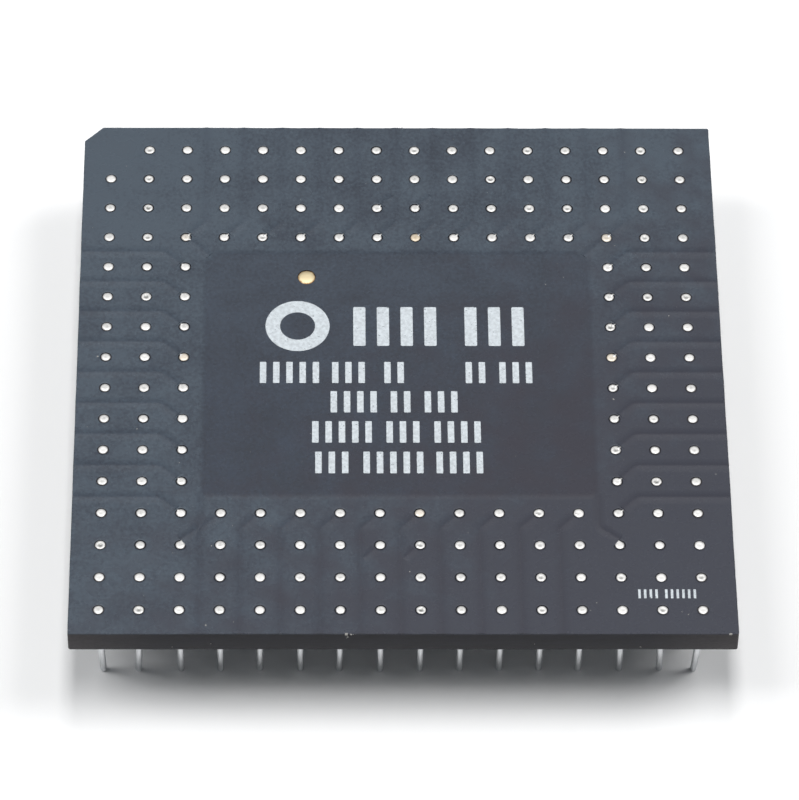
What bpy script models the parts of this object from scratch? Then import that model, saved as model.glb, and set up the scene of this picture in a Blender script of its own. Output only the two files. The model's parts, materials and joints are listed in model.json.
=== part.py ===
"""Plastic pin grid array package of a programmable logic chip, die cavity facing down.

Metres, +Z up. The origin is the centre of the pin grid, in the plane of the pin tips.
The cut index corner is at -X, +Y.
"""
import math

import bmesh
import bpy
from mathutils import Vector

# Pin grid
PITCH = 0.00254
GRID_SIDE = 16
PIN_DIAMETER = 0.00046
PIN_LENGTH = 0.00483
TIP_TAPER_LENGTH = 0.00012
TIP_DIAMETER = 0.00026
PIN_SIDES = 6
PIN_KEEP_OUT = 0.0016

# Solder dots where the pin tails come through the top face
DOT_DIAMETER = 0.00068
DOT_FLAT_DIAMETER = 0.00040
DOT_RISE = 0.00008
DOT_ROOT_DEPTH = 0.00006

# Laminate board: its thickness is the floor, the die pocket and the bonding window
EDGE_MARGIN = 0.00195
INDEX_CORNER_CUT = 0.0012
FLOOR_THICKNESS = 0.00049
POCKET_DEPTH = 0.00060
WINDOW_DEPTH = 0.00060
POCKET_CLEARANCE = 0.00050
POCKET_CORNER_RADIUS = 0.00050
SHELF_WIDTH = 0.00190
WINDOW_CORNER_RADIUS = 0.00090

# Die and its bond wires
DIE_LENGTH = 0.0124
DIE_WIDTH = 0.0100
DIE_THICKNESS = 0.00040
ATTACH_THICKNESS = 0.00004
ATTACH_FILLET = 0.00015
WIRE_DIAMETER = 0.00003
WIRES_PER_SIDE = 28
PAD_INSET = 0.00012
PAD_ROW_END = 0.00040
FINGER_OFFSET = 0.00075
FINGER_ROW_END = 0.00120
LOOP_HEIGHT = 0.00020
LOOP_START_RUN = 0.00010
LOOP_FLAT_SHARE = 0.62
WIRE_ROOT_DEPTH = 0.00004
BALL_DIAMETER = 0.00010

# Lid and its epoxy seal
SEAL_WIDTH = 0.00160
SEAL_THICKNESS = 0.00010
LID_THICKNESS = 0.00040
LID_CORNER_RADIUS = 0.00120
LID_EDGE_ROUND = 0.00008

# Gold index mark in its opening in the top face
INDEX_MARK_DIAMETER = 0.00114
INDEX_MARK_X = -0.00596
INDEX_MARK_Y = 0.0080
INDEX_MARK_RISE = 0.00004
INDEX_MARK_EDGE = 0.00014
INDEX_RECESS_DEPTH = 0.00005
INDEX_RECESS_CLEARANCE = 0.00003

# Joints between bonded pieces, and how far a cutter passes a face
BOND_GAP = 0.00002
CUT_PAST = 0.00050
ROUND_STEPS = 4
WELD_DISTANCE = 0.0000001

# Sizes worked out from those above
BOARD_SIDE = (GRID_SIDE - 1) * PITCH + 2 * EDGE_MARGIN
BOARD_THICKNESS = FLOOR_THICKNESS + POCKET_DEPTH + WINDOW_DEPTH
POCKET_LENGTH = DIE_LENGTH + 2 * POCKET_CLEARANCE
POCKET_WIDTH = DIE_WIDTH + 2 * POCKET_CLEARANCE
WINDOW_LENGTH = POCKET_LENGTH + 2 * SHELF_WIDTH
WINDOW_WIDTH = POCKET_WIDTH + 2 * SHELF_WIDTH
LID_LENGTH = WINDOW_LENGTH + 2 * SEAL_WIDTH
LID_WIDTH = WINDOW_WIDTH + 2 * SEAL_WIDTH

# Heights above the pin tips
UNDERSIDE_Z = PIN_LENGTH
SHELF_Z = UNDERSIDE_Z + WINDOW_DEPTH
POCKET_Z = SHELF_Z + POCKET_DEPTH
TOP_Z = UNDERSIDE_Z + BOARD_THICKNESS
ATTACH_Z = POCKET_Z - BOND_GAP - ATTACH_THICKNESS / 2
DIE_FACE_Z = POCKET_Z - 2 * BOND_GAP - ATTACH_THICKNESS - DIE_THICKNESS
SEAL_Z = UNDERSIDE_Z - BOND_GAP - SEAL_THICKNESS / 2
LID_Z = SEAL_Z - SEAL_THICKNESS / 2 - BOND_GAP - LID_THICKNESS / 2


def clear_scene():
    for thing in list(bpy.data.objects):
        bpy.data.objects.remove(thing, do_unlink=True)


def new_collection(name):
    collection = bpy.data.collections.new(name)
    bpy.context.scene.collection.children.link(collection)
    return collection


def finish_material(name, colour, roughness, metallic):
    """A Principled material; colour is linear red, green and blue."""
    material = bpy.data.materials.new(name)
    material.use_nodes = True
    shader = material.node_tree.nodes["Principled BSDF"]
    shader.inputs["Base Color"].default_value = (*colour, 1.0)
    shader.inputs["Roughness"].default_value = roughness
    shader.inputs["Metallic"].default_value = metallic
    material.diffuse_color = (*colour, 1.0)
    return material


def add_mesh_object(name, mesh, collection, parent, location=(0, 0, 0)):
    thing = bpy.data.objects.new(name, mesh)
    thing.location = location
    thing.parent = parent
    collection.objects.link(thing)
    return thing


def mark_as_cutter(thing):
    thing.hide_render = True
    thing.display_type = "WIRE"


def mesh_from_curve(curve_object):
    """Closed mesh of a curve object, which is then removed with its curve."""
    depsgraph = bpy.context.evaluated_depsgraph_get()
    mesh = bpy.data.meshes.new_from_object(curve_object.evaluated_get(depsgraph))
    curve = curve_object.data
    bpy.data.objects.remove(curve_object, do_unlink=True)
    bpy.data.curves.remove(curve)
    work = bmesh.new()
    work.from_mesh(mesh)
    bmesh.ops.remove_doubles(work, verts=work.verts, dist=WELD_DISTANCE)
    bmesh.ops.recalc_face_normals(work, faces=work.faces)
    work.to_mesh(mesh)
    work.free()
    return mesh


def plate_mesh(name, outlines, thickness, collection):
    """Flat plate from closed outlines; a second outline is a hole in the first."""
    curve = bpy.data.curves.new(name, "CURVE")
    curve.dimensions = "2D"
    curve.fill_mode = "BOTH"
    curve.extrude = thickness / 2
    for points in outlines:
        spline = curve.splines.new("POLY")
        spline.points.add(len(points) - 1)
        for point, (x, y) in zip(spline.points, points):
            point.co = (x, y, 0, 1)
        spline.use_cyclic_u = True
    curve_object = bpy.data.objects.new(name, curve)
    collection.objects.link(curve_object)
    return mesh_from_curve(curve_object)


def rounded_rectangle(length, width, radius):
    """Corner arcs of a rectangle centred on the origin, counter-clockwise."""
    points = []
    for quarter, (side_x, side_y) in enumerate(((1, 1), (-1, 1), (-1, -1), (1, -1))):
        centre_x = side_x * (length / 2 - radius)
        centre_y = side_y * (width / 2 - radius)
        for step in range(ROUND_STEPS + 1):
            angle = math.radians(90) * (quarter + step / ROUND_STEPS)
            points.append((centre_x + radius * math.cos(angle), centre_y + radius * math.sin(angle)))
    return points


def turned_mesh(name, profile, sides, collection):
    """Closed turned shape; profile runs down the outer side as (radius, height) pairs."""
    mesh = bpy.data.meshes.new(name)
    points = [(radius, 0, height) for radius, height in profile]
    mesh.from_pydata(points, [(i, i + 1) for i in range(len(points) - 1)], [])
    thing = bpy.data.objects.new(name, mesh)
    collection.objects.link(thing)
    screw = thing.modifiers.new("turn", "SCREW")
    screw.steps = sides
    screw.render_steps = sides
    screw.use_merge_vertices = True
    screw.merge_threshold = WELD_DISTANCE
    depsgraph = bpy.context.evaluated_depsgraph_get()
    turned = bpy.data.meshes.new_from_object(thing.evaluated_get(depsgraph))
    bpy.data.objects.remove(thing, do_unlink=True)
    bpy.data.meshes.remove(mesh)
    work = bmesh.new()
    work.from_mesh(turned)
    bmesh.ops.holes_fill(work, edges=[edge for edge in work.edges if edge.is_boundary])
    bmesh.ops.recalc_face_normals(work, faces=work.faces)
    work.to_mesh(turned)
    work.free()
    return turned


def cut_or_join(body, tool, operation):
    boolean = body.modifiers.new(tool.name, "BOOLEAN")
    boolean.operation = operation
    boolean.solver = "EXACT"
    boolean.object = tool


def pin_places():
    """Grid positions that hold a pin: none over the lid, none at the index corner."""
    middle = (GRID_SIDE - 1) / 2
    places = []
    for row in range(GRID_SIDE):
        for column in range(GRID_SIDE):
            x = (column - middle) * PITCH
            y = (middle - row) * PITCH
            beside_lid_x = abs(x) > LID_LENGTH / 2 + PIN_KEEP_OUT
            beside_lid_y = abs(y) > LID_WIDTH / 2 + PIN_KEEP_OUT
            at_index_corner = row == 0 and column == 0
            if (beside_lid_x or beside_lid_y) and not at_index_corner:
                places.append((x, y))
    return places


def pin_profile():
    """One pin with its tail and solder dot, from the dot down to the tip."""
    return [
        (DOT_FLAT_DIAMETER / 2, TOP_Z + DOT_RISE),
        (DOT_DIAMETER / 2, TOP_Z - DOT_ROOT_DEPTH),
        (PIN_DIAMETER / 2, TOP_Z - DOT_ROOT_DEPTH - FLOOR_THICKNESS / 4),
        (PIN_DIAMETER / 2, TIP_TAPER_LENGTH),
        (TIP_DIAMETER / 2, 0),
    ]


def pin_field(cutters, root, metal_index):
    """All pins as separate bodies, ready to be joined to the board."""
    pin = turned_mesh("pin", pin_profile(), PIN_SIDES, cutters)
    work = bmesh.new()
    for x, y in pin_places():
        first_new = len(work.verts)
        work.from_mesh(pin)
        bmesh.ops.translate(work, verts=work.verts[first_new:], vec=(x, y, 0))
    for face in work.faces:
        face.material_index = metal_index
    mesh = bpy.data.meshes.new("pin_field")
    work.to_mesh(mesh)
    work.free()
    bpy.data.meshes.remove(pin)
    field = add_mesh_object("pin_field", mesh, cutters, root)
    mark_as_cutter(field)
    return field


def recess_cutter(name, outline, floor_z, cutters, root):
    """Cutter that opens the underside up to floor_z."""
    bottom = UNDERSIDE_Z - CUT_PAST
    mesh = plate_mesh(name, [outline], floor_z - bottom, cutters)
    cutter = add_mesh_object(name, mesh, cutters, root, (0, 0, (floor_z + bottom) / 2))
    mark_as_cutter(cutter)
    return cutter


def index_recess_cutter(cutters, root):
    radius = INDEX_MARK_DIAMETER / 2 + INDEX_RECESS_CLEARANCE
    profile = [(0, CUT_PAST), (radius, CUT_PAST), (radius, -INDEX_RECESS_DEPTH), (0, -INDEX_RECESS_DEPTH)]
    mesh = turned_mesh("index_recess", profile, 24, cutters)
    cutter = add_mesh_object("index_recess", mesh, cutters, root, (INDEX_MARK_X, INDEX_MARK_Y, TOP_Z))
    mark_as_cutter(cutter)
    return cutter


def pin_grid_board(parts, cutters, root):
    """Laminate with its stepped die cavity; the pins are soldered in and so one body with it."""
    half = BOARD_SIDE / 2
    outline = [
        (-half, -half),
        (half, -half),
        (half, half),
        (-half + INDEX_CORNER_CUT, half),
        (-half, half - INDEX_CORNER_CUT),
    ]
    mesh = plate_mesh("pin_grid_board", [outline], BOARD_THICKNESS, cutters)
    mesh.materials.append(finish_material("black_solder_mask", (0.085, 0.092, 0.105), 0.42, 0.0))
    mesh.materials.append(finish_material("tinned_pin", (0.56, 0.55, 0.53), 0.36, 1.0))
    board = add_mesh_object("pin_grid_board", mesh, parts, root, (0, 0, TOP_Z - BOARD_THICKNESS / 2))
    window = rounded_rectangle(WINDOW_LENGTH, WINDOW_WIDTH, WINDOW_CORNER_RADIUS)
    pocket = rounded_rectangle(POCKET_LENGTH, POCKET_WIDTH, POCKET_CORNER_RADIUS)
    cut_or_join(board, recess_cutter("bonding_window", window, SHELF_Z, cutters, root), "DIFFERENCE")
    cut_or_join(board, recess_cutter("die_pocket", pocket, POCKET_Z, cutters, root), "DIFFERENCE")
    cut_or_join(board, index_recess_cutter(cutters, root), "DIFFERENCE")
    cut_or_join(board, pin_field(cutters, root, 1), "UNION")


def index_mark(parts, cutters, root):
    """Gold-plated pad, slightly domed, beside the cut corner's quarter of the top face."""
    radius = INDEX_MARK_DIAMETER / 2
    profile = [
        (0, INDEX_MARK_RISE),
        (radius - INDEX_MARK_EDGE, INDEX_MARK_RISE),
        (radius, 0),
        (radius, -INDEX_RECESS_DEPTH + BOND_GAP),
        (0, -INDEX_RECESS_DEPTH + BOND_GAP),
    ]
    mesh = turned_mesh("index_mark", profile, 24, cutters)
    mesh.materials.append(finish_material("gold_plate", (0.70, 0.48, 0.16), 0.32, 1.0))
    add_mesh_object("index_mark", mesh, parts, root, (INDEX_MARK_X, INDEX_MARK_Y, TOP_Z))


def box_mesh(name, length, width, height):
    mesh = bpy.data.meshes.new(name)
    work = bmesh.new()
    bmesh.ops.create_cube(work, size=1)
    bmesh.ops.scale(work, verts=work.verts, vec=(length, width, height))
    work.to_mesh(mesh)
    work.free()
    return mesh


def die_attach(parts, root):
    mesh = box_mesh(
        "die_attach", DIE_LENGTH + 2 * ATTACH_FILLET, DIE_WIDTH + 2 * ATTACH_FILLET, ATTACH_THICKNESS
    )
    mesh.materials.append(finish_material("silver_epoxy", (0.50, 0.50, 0.48), 0.55, 0.4))
    add_mesh_object("die_attach", mesh, parts, root, (0, 0, ATTACH_Z))


def wire_routes():
    """Each bond wire's points, from inside the die's face to above its finger on the shelf."""
    wire_radius = WIRE_DIAMETER / 2
    foot_z = SHELF_Z - BOND_GAP - 2 * wire_radius
    loop_z = SHELF_Z - LOOP_HEIGHT
    routes = []
    for quarter in range(4):
        outward = Vector((math.cos(math.radians(90 * quarter)), math.sin(math.radians(90 * quarter)), 0))
        along = Vector((-outward.y, outward.x, 0))
        faces_x = quarter % 2 == 0
        die_reach, die_row = (DIE_LENGTH, DIE_WIDTH) if faces_x else (DIE_WIDTH, DIE_LENGTH)
        pocket_reach, window_row = (
            (POCKET_LENGTH, WINDOW_WIDTH) if faces_x else (POCKET_WIDTH, WINDOW_LENGTH)
        )
        for count in range(WIRES_PER_SIDE):
            share = count / (WIRES_PER_SIDE - 1) - 0.5
            pad = outward * (die_reach / 2 - PAD_INSET) + along * share * (die_row - 2 * PAD_ROW_END)
            finger = outward * (pocket_reach / 2 + FINGER_OFFSET)
            finger += along * share * (window_row - 2 * FINGER_ROW_END)
            heading = (finger - pad).normalized()
            routes.append([
                pad + Vector((0, 0, DIE_FACE_Z + WIRE_ROOT_DEPTH)),
                pad + heading * LOOP_START_RUN + Vector((0, 0, loop_z)),
                pad.lerp(finger, LOOP_FLAT_SHARE) + Vector((0, 0, loop_z)),
                finger + Vector((0, 0, foot_z)),
            ])
    return routes


def bond_wires(cutters, root, gold_index):
    """All bond wires as separate bodies, ready to be joined to the die."""
    curve = bpy.data.curves.new("bond_wires", "CURVE")
    curve.dimensions = "3D"
    curve.bevel_depth = WIRE_DIAMETER / 2
    curve.bevel_resolution = 0
    curve.use_fill_caps = True
    for route in wire_routes():
        spline = curve.splines.new("POLY")
        spline.points.add(len(route) - 1)
        for point, place in zip(spline.points, route):
            point.co = (*place, 1)
        spline.points[0].radius = BALL_DIAMETER / WIRE_DIAMETER
    curve_object = bpy.data.objects.new("bond_wires", curve)
    cutters.objects.link(curve_object)
    mesh = mesh_from_curve(curve_object)
    mesh.polygons.foreach_set("material_index", [gold_index] * len(mesh.polygons))
    wires = add_mesh_object("bond_wires", mesh, cutters, root)
    mark_as_cutter(wires)
    return wires


def wire_bonded_die(parts, cutters, root):
    """Die, circuit face down, with its bond wires welded to its pads."""
    mesh = box_mesh("wire_bonded_die", DIE_LENGTH, DIE_WIDTH, DIE_THICKNESS)
    mesh.materials.append(finish_material("silicon", (0.10, 0.11, 0.13), 0.15, 0.6))
    mesh.materials.append(finish_material("gold_wire", (0.75, 0.52, 0.18), 0.25, 1.0))
    die = add_mesh_object("wire_bonded_die", mesh, parts, root, (0, 0, DIE_FACE_Z + DIE_THICKNESS / 2))
    cut_or_join(die, bond_wires(cutters, root, 1), "UNION")


def lid_seal(parts, cutters, root):
    """Epoxy frame between the lid and the board, around the bonding window."""
    outer = rounded_rectangle(LID_LENGTH, LID_WIDTH, LID_CORNER_RADIUS)
    inner = rounded_rectangle(WINDOW_LENGTH, WINDOW_WIDTH, WINDOW_CORNER_RADIUS)
    mesh = plate_mesh("lid_seal", [outer, inner], SEAL_THICKNESS, cutters)
    mesh.materials.append(finish_material("epoxy_seal", (0.05, 0.045, 0.04), 0.45, 0.0))
    add_mesh_object("lid_seal", mesh, parts, root, (0, 0, SEAL_Z))


def lid(parts, cutters, root):
    """Flat lid over the die cavity, its edges slightly eased."""
    outline = rounded_rectangle(LID_LENGTH, LID_WIDTH, LID_CORNER_RADIUS)
    mesh = plate_mesh("lid", [outline], LID_THICKNESS, cutters)
    mesh.materials.append(finish_material("black_anodised", (0.035, 0.035, 0.038), 0.5, 0.3))
    cover = add_mesh_object("lid", mesh, parts, root, (0, 0, LID_Z))
    bevel = cover.modifiers.new("eased_edge", "BEVEL")
    bevel.width = LID_EDGE_ROUND
    bevel.segments = 1
    bevel.limit_method = "ANGLE"
    bevel.angle_limit = math.radians(60)


def main():
    clear_scene()
    parts = new_collection("programmable_logic_chip")
    cutters = new_collection("cutters")
    root = bpy.data.objects.new("chip_frame", None)
    parts.objects.link(root)
    pin_grid_board(parts, cutters, root)
    index_mark(parts, cutters, root)
    die_attach(parts, root)
    wire_bonded_die(parts, cutters, root)
    lid_seal(parts, cutters, root)
    lid(parts, cutters, root)


main()
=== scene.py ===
"""Looks of a plastic pin grid array chip: its board, pins, solder dots, marks and stage.

Metres, +Z up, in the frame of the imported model. The cut index corner is at -X, +Y.
"""
import json
import math
import random

import bmesh
import bpy
from bpy.props import FloatProperty, FloatVectorProperty, IntProperty, PointerProperty
from mathutils import Matrix, Vector, geometry, noise

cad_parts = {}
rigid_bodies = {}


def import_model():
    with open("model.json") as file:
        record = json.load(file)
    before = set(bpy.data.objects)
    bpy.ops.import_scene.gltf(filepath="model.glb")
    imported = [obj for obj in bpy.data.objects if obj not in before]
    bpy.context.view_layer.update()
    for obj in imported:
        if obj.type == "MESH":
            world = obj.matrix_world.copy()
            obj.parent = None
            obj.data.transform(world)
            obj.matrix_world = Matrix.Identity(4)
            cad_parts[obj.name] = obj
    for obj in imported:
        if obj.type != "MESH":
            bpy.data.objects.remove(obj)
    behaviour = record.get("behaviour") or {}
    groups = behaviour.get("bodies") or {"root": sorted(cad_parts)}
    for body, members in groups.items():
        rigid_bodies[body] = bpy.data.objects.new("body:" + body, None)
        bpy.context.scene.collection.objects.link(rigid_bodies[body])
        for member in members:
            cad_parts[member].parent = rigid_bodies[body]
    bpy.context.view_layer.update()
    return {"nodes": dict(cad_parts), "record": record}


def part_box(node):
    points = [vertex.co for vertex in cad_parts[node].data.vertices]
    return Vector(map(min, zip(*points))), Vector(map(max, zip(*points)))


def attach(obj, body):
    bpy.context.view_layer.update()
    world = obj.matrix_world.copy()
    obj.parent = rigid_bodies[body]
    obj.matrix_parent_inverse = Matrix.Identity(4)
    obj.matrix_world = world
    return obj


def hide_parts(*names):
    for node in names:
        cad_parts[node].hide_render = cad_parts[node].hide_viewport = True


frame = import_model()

bl_info = {
    "name": "Pin grid array chip",
    "version": (1, 0, 0),
    "blender": (4, 5, 0),
    "location": "3D View > Sidebar > Chip",
    "description": "Builds the visible pieces of a pin grid array chip on its packed frame",
    "category": "Add Mesh",
}

MM = 0.001
BODY = "root"
DIE_THICKNESS = 0.40 * MM
# how far the copper's relief reaches down into the board that carries it
SINK = 0.02 * MM
# width of the seam between a part and the edge beside it
SEAM = 0.03 * MM
# the board's materials: solder mask, and bare sawn laminate, which also lines the mask's openings round the
# dots and the mark as painted shade
MASK = 0
BARE_AND_SHADE = 1
# kinds of node that stand in many trees
MATH = "ShaderNodeMath"
MIX = "ShaderNodeMix"
RANGE = "ShaderNodeMapRange"


def mount_height(name):
    """Height of one of the record's flat faces."""
    for mount in frame["record"]["mounts"]:
        if mount["name"] == name:
            return mount["pos_m"][2]
    raise RuntimeError(f"the record has no mount named {name}")


TOP_Z = mount_height("top_face")
UNDERSIDE_Z = mount_height("seating_face")


def linear(hex_colour):
    """Linear red, green and blue of an sRGB hex value."""
    shares = [int(hex_colour[i:i + 2], 16) / 255 for i in (0, 2, 4)]
    return tuple(s / 12.92 if s <= 0.04045 else ((s + 0.055) / 1.055) ** 2.4 for s in shares)


def lighter(tone, share):
    return [min(1.0, v * share) for v in tone]


def length(name, description, millimetres):
    return FloatProperty(
        name=name, description=description, default=millimetres * MM, unit="LENGTH", precision=6
    )


def colour(name, description, hex_colour):
    return FloatVectorProperty(
        name=name, description=description, default=linear(hex_colour), subtype="COLOR", min=0, max=1
    )


class ChipSizes(bpy.types.PropertyGroup):
    """Sizes of the chip's visible pieces"""

    pitch: length("Pin pitch", "Distance between neighbouring pins", 2.54)
    grid_side: IntProperty(name="Grid side", description="Pin positions along each side", default=16)
    free_columns: IntProperty(name="Free columns", description="Pinless positions along X", default=10)
    free_rows: IntProperty(name="Free rows", description="Pinless positions along Y", default=8)
    left: length("Left edge", "Sawn edge at -X", -20.89)
    right: length("Right edge", "Sawn edge at +X", 21.18)
    front: length("Front edge", "Sawn edge at -Y", -20.92)
    back: length("Back edge", "Sawn edge at +Y", 21.06)
    front_flare: length("Front flare", "How much wider the board is at the front, each side", 0.06)
    corner_cut_x: length("Corner cut X", "Index corner's cut along X", 1.21)
    corner_cut_y: length("Corner cut Y", "Index corner's cut along Y", 1.22)
    corner_round: length("Corner round", "Rounding of the board's upright corners", 0.14)
    rim_round: length("Rim round", "Rounding of the board's top and bottom rims", 0.05)
    saw_wave: length("Saw wave", "How far the sawn edges wander", 0.018)
    window_length: length("Window length", "Bonding window along X", 17.2)
    window_width: length("Window width", "Bonding window along Y", 14.8)
    window_round: length("Window rounding", "Rounding of the window's corners", 0.9)
    window_depth: length("Window depth", "Bonding window's depth", 0.60)
    pocket_length: length("Pocket length", "Die pocket along X", 13.4)
    pocket_width: length("Pocket width", "Die pocket along Y", 11.0)
    pocket_round: length("Pocket rounding", "Rounding of the pocket's corners", 0.5)
    pocket_depth: length("Pocket depth", "Die pocket's depth beyond the window", 0.60)
    dimple_radius: length("Dimple radius", "Where the mask starts to dip round a dot", 0.49)
    dimple_depth: length("Dimple depth", "How far the mask dips at its opening", 0.012)
    opening_radius: length("Opening radius", "Mask opening round a dot", 0.385)
    opening_depth: length("Opening depth", "Depth of the gap between mask and dot", 0.06)
    dot_radius: length("Dot radius", "Radius of a solder dot", 0.32)
    dot_rise: length("Dot rise", "Height of a solder dot over the mask", 0.042)
    trace_half_width: length("Trace half width", "Foot of the mask over a trace, each side", 0.66)
    trace_rise: length("Trace rise", "Height of the mask over a trace", 0.046)
    trace_bend: length("Trace bend", "Bend radius of a trace", 0.68)
    field_half_length: length("Field half length", "Copper field's reach along X", 12.70)
    field_rise: length("Field rise", "Height of the mask over the copper field", 0.030)
    tail_width: length("Tail width", "Width of a broad trace stub in its dot", 0.42)
    spur_width: length("Spur width", "Width of a narrow trace stub in its dot", 0.25)
    tail_reach: length("Tail reach", "How far a bare stub reaches from its dot's centre", 0.46)
    pin_radius: length("Pin radius", "Radius of a pin", 0.21)
    tip_round: length("Tip round", "Rounding of a pin's tip", 0.11)
    pad_radius: length("Pad radius", "Solder pad round a pin on the underside", 0.48)
    fillet_rise: length("Fillet rise", "How far solder climbs a pin under the board", 0.26)
    mark_radius: length("Index mark radius", "Radius of the gold index mark", 0.57)
    mark_rise: length("Index mark rise", "Height of the index mark over the board", 0.07)
    ink_rise: length("Ink rise", "Thickness of the printed ink", 0.012)
    ring_radius: length("Ring radius", "Radius of the printed ring", 2.1)
    ring_hole: length("Ring hole", "Radius of the printed ring's hole", 1.15)


class ChipColours(bpy.types.PropertyGroup):
    """Colours of the chip's finishes"""

    mask_dark: colour("Mask, dark", "Darker patches of the solder mask", "272f3b")
    mask_light: colour("Mask, light", "Lighter patches of the solder mask", "3d4853")
    mask_warm: colour("Mask, warm", "Warmer patches of the solder mask", "2b2d38")
    copper_dark: colour("Mask on copper, dark", "Darker patches of the mask over copper", "1f2530")
    copper_light: colour("Mask on copper, light", "Lighter patches of the mask over copper", "2a3341")
    copper_warm: colour("Mask on copper, warm", "Warmer patches of the mask over copper", "25242f")
    laminate_dark: colour("Laminate, dark", "Sawn glass-epoxy edge", "0a0a11")
    laminate_light: colour("Laminate, light", "Glass bundles in the sawn edge", "13131d")
    # painted light on the ends of the sawn edge
    laminate_painted_light: colour("Laminate, stained", "Browner ends of the sawn edge", "3f3b3d")
    solder_bright: colour("Solder, bright", "Clean solder", "fdfcfa")
    solder_dull: colour("Solder, dull", "Oxidised solder", "a3a4a0")
    solder_gold: colour("Solder, gold", "Solder thin enough to show the gold plate", "e0bd78")
    pin_plate: colour("Pin plate", "Tin plate of the pins", "dbdddf")
    gold: colour("Gold plate", "Gold plate of the index mark", "f8e6bd")
    gold_rim: colour("Gold rim", "Stained rim of the index mark", "8f602a")
    ink: colour("Ink", "White marking ink", "cfd6db")
    chip_fibre: colour("Chipped edge", "Bare glass fibre where the edge is chipped", "a9a7a3")
    lid: colour("Lid", "Anodised lid", "26272a")
    epoxy: colour("Seal", "Epoxy round the lid", "1f1c19")
    silicon: colour("Silicon", "Die", "4b5058")
    silver_epoxy: colour("Die attach", "Silver-filled epoxy", "a9a8a2")
    floor: colour("Floor", "Pale floor", "f9f9f9")


def sizes():
    return bpy.context.scene.chip_sizes


def colours():
    return bpy.context.scene.chip_colours


# Node trees

def add(tree, kind, inputs=(), **settings):
    """Adds a node. Its inputs, in order or by socket, are values, or sockets and nodes to link."""
    node = tree.nodes.new(kind)
    for key, value in settings.items():
        setattr(node, key, value)
    for key, value in inputs.items() if isinstance(inputs, dict) else enumerate(inputs):
        socket = node.inputs[key]
        if isinstance(value, bpy.types.Node):
            value = next(output for output in value.outputs if output.enabled)
        if isinstance(value, bpy.types.NodeSocket):
            tree.links.new(value, socket)
        else:
            socket.default_value = (*value, 1) if socket.type == "RGBA" else value
    return node


def grain(tree, size, detail=2.0, stretch=(1, 1, 1)):
    """Pattern whose features are about size metres wide, stretched along the axes by the shares given."""
    place = add(tree, "ShaderNodeTexCoord").outputs["Object"]
    scaled = add(tree, "ShaderNodeMapping", {"Vector": place, "Scale": [1 / (size * s) for s in stretch]})
    return add(tree, "ShaderNodeTexNoise", {
        "Vector": scaled, "Scale": 1.0, "Detail": detail, "Roughness": 0.55,
    })


def new_material(name, preview):
    material = bpy.data.materials.new(name)
    material.use_nodes = True
    material.diffuse_color = (*preview, 1)
    material.node_tree.nodes.clear()
    return material, material.node_tree


def finish_material(material, inputs, *relief):
    """Gives a material its shader; relief is the height, strength and depth of its fine bumps."""
    tree = material.node_tree
    if relief:
        inputs["Normal"] = add(tree, "ShaderNodeBump", dict(zip(("Height", "Strength", "Distance"), relief)))
    add(tree, "ShaderNodeOutputMaterial", {"Surface": add(tree, "ShaderNodeBsdfPrincipled", inputs)})
    return material


def solder_mask():
    """Black solder mask, screened and cured: satin, a little mottled, darker where copper lies under it, with
    painted sheen towards the back left and painted shade over the copper towards the front.
    """
    c = colours()
    material, tree = new_material("black_solder_mask", c.mask_dark)
    x, y, _ = add(tree, "ShaderNodeSeparateXYZ", [add(tree, "ShaderNodeTexCoord").outputs["Object"]]).outputs
    over_copper = add(tree, "ShaderNodeAttribute", attribute_name="over_copper").outputs["Fac"]
    # painted shade: over the copper the mask is painted darker towards the front and lighter towards the
    # back, standing for light that falls off towards the front
    painted_front_shade = add(tree, RANGE, [y, -9 * MM, 9 * MM, 1.15, 0.62])
    buried = add(tree, MATH, [over_copper, painted_front_shade], operation="MULTIPLY")
    # painted sheen: the mask is painted paler and bluer in the back corners and on the left, where light
    # glances off it
    aside = add(tree, RANGE, [add(tree, MATH, [x], operation="ABSOLUTE"), 4 * MM, 19 * MM, 0, 1])
    behind = add(tree, RANGE, [y, 2 * MM, 19 * MM, 0, 0.36])
    leftward = add(tree, RANGE, [x, -21 * MM, 15 * MM, 0.06, -0.03])
    painted_sheen = add(tree, MATH, [aside, behind, leftward], operation="MULTIPLY_ADD")
    specks = add(tree, RANGE, [grain(tree, 0.20 * MM), 0.3, 0.7, -0.26, 0.26])
    uneven = add(tree, MATH, [grain(tree, 3.5 * MM, 3.0), specks])
    share = add(tree, RANGE, [add(tree, MATH, [uneven, painted_sheen]), 0.20, 0.80, 0, 1])
    # painted sheen: the mask is painted bluish towards the back left, where light glances off it, and neutral
    # towards the front right; the blotches are its own uneven tone
    blotches = add(tree, RANGE, [grain(tree, 2.1 * MM), 0.3, 0.7, -9 * MM, 9 * MM])
    across = add(tree, MATH, [x, y], operation="SUBTRACT")
    warm = add(tree, RANGE, [add(tree, MATH, [blotches, across]), -5 * MM, 20 * MM, 0, 0.9])
    on_resin = add(tree, MIX, {0: share, 6: c.mask_dark, 7: c.mask_light}, data_type="RGBA")
    on_copper = add(tree, MIX, {0: share, 6: c.copper_dark, 7: c.copper_light}, data_type="RGBA")
    cool_tone = add(tree, MIX, {0: buried, 6: on_resin, 7: on_copper}, data_type="RGBA")
    warm_tone = add(tree, MIX, {0: buried, 6: c.mask_warm, 7: c.copper_warm}, data_type="RGBA")
    # resin grain is about 0.05 mm across, drawn at 0.12 mm so that it shows
    return finish_material(material, {
        "Base Color": add(tree, MIX, {0: warm, 6: cool_tone, 7: warm_tone}, data_type="RGBA"),
        "Roughness": add(tree, RANGE, [grain(tree, 1.1 * MM, 3.0), 0.3, 0.7, 0.23, 0.31]), "IOR": 1.53,
    }, grain(tree, 0.12 * MM), 0.35, 0.006 * MM)


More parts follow.
